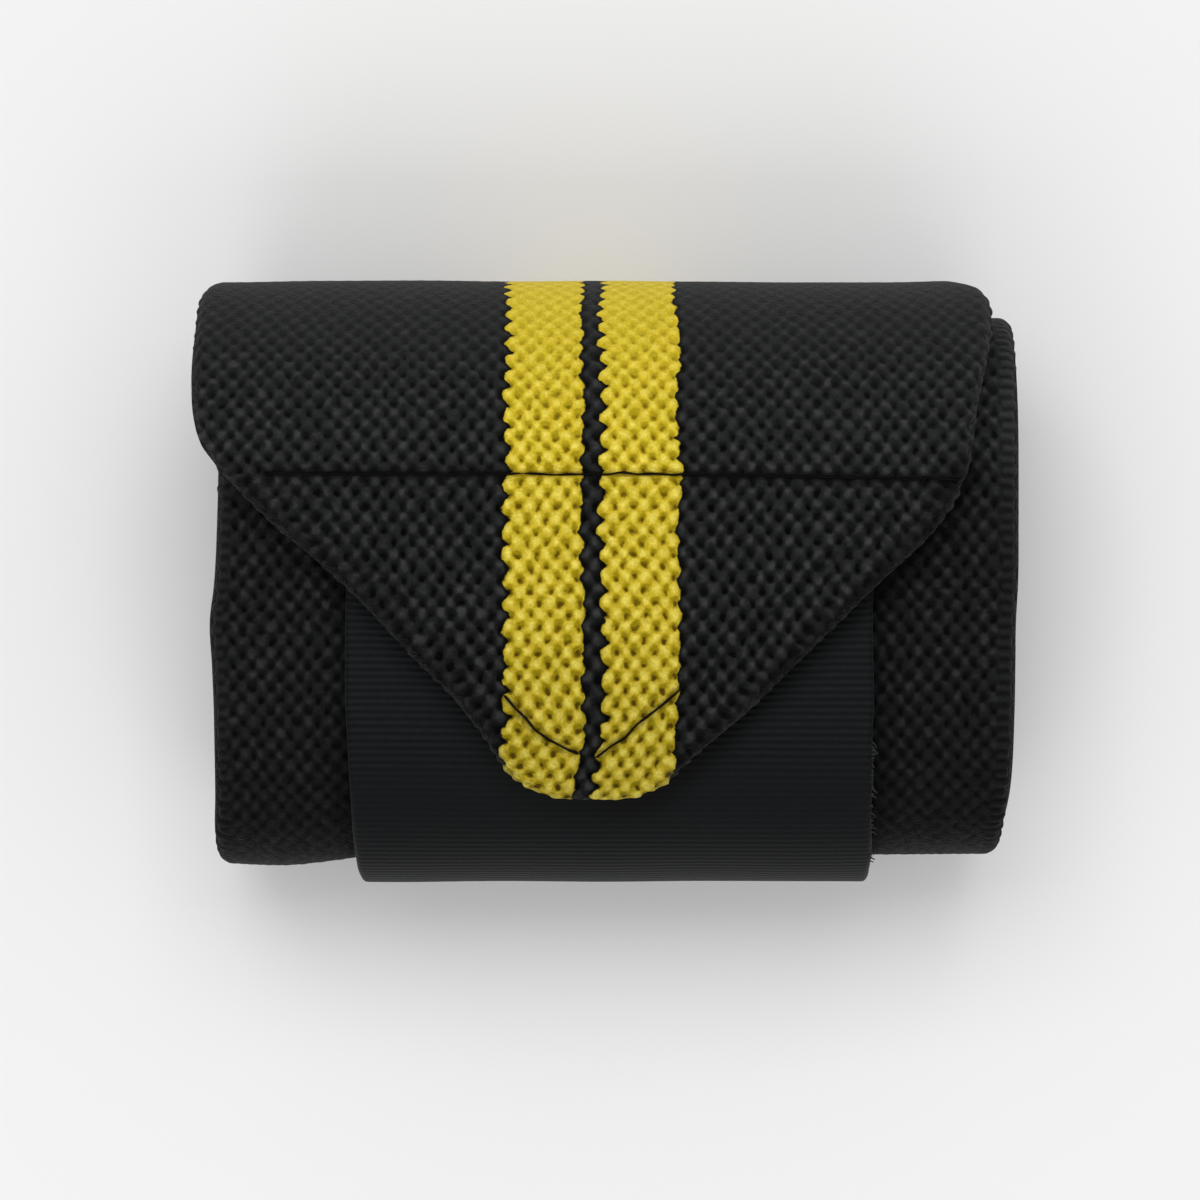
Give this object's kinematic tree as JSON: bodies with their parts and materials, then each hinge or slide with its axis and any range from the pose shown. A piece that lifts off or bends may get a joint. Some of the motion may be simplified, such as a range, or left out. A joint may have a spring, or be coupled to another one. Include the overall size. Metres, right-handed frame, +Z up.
{
  "type": "rolled wrist wrap",
  "caption": "Wide elastic wrist wrap, rolled up flat, with striped knit, a pointed sewn end and a strip of hook tape that holds the roll closed.",
  "frame": {"origin": "centre of the footprint, on the surface that the roll lies on", "axes": "+X across the band's width, +Y along the flat of the roll away from the tape's side, +Z up, through the face with the point"},
  "size_m": [0.0786, 0.0578, 0.0362],
  "materials": {
    "elastic_knit": "black ribbed elastic knit with two yellow stripes along it",
    "hook_tape": "black woven tape with fine cross ribs and a slight sheen"
  },
  "bodies": {
    "root": {"wrap_band": "elastic_knit", "hook_tape": "hook_tape"}
  },
  "joints": []
}
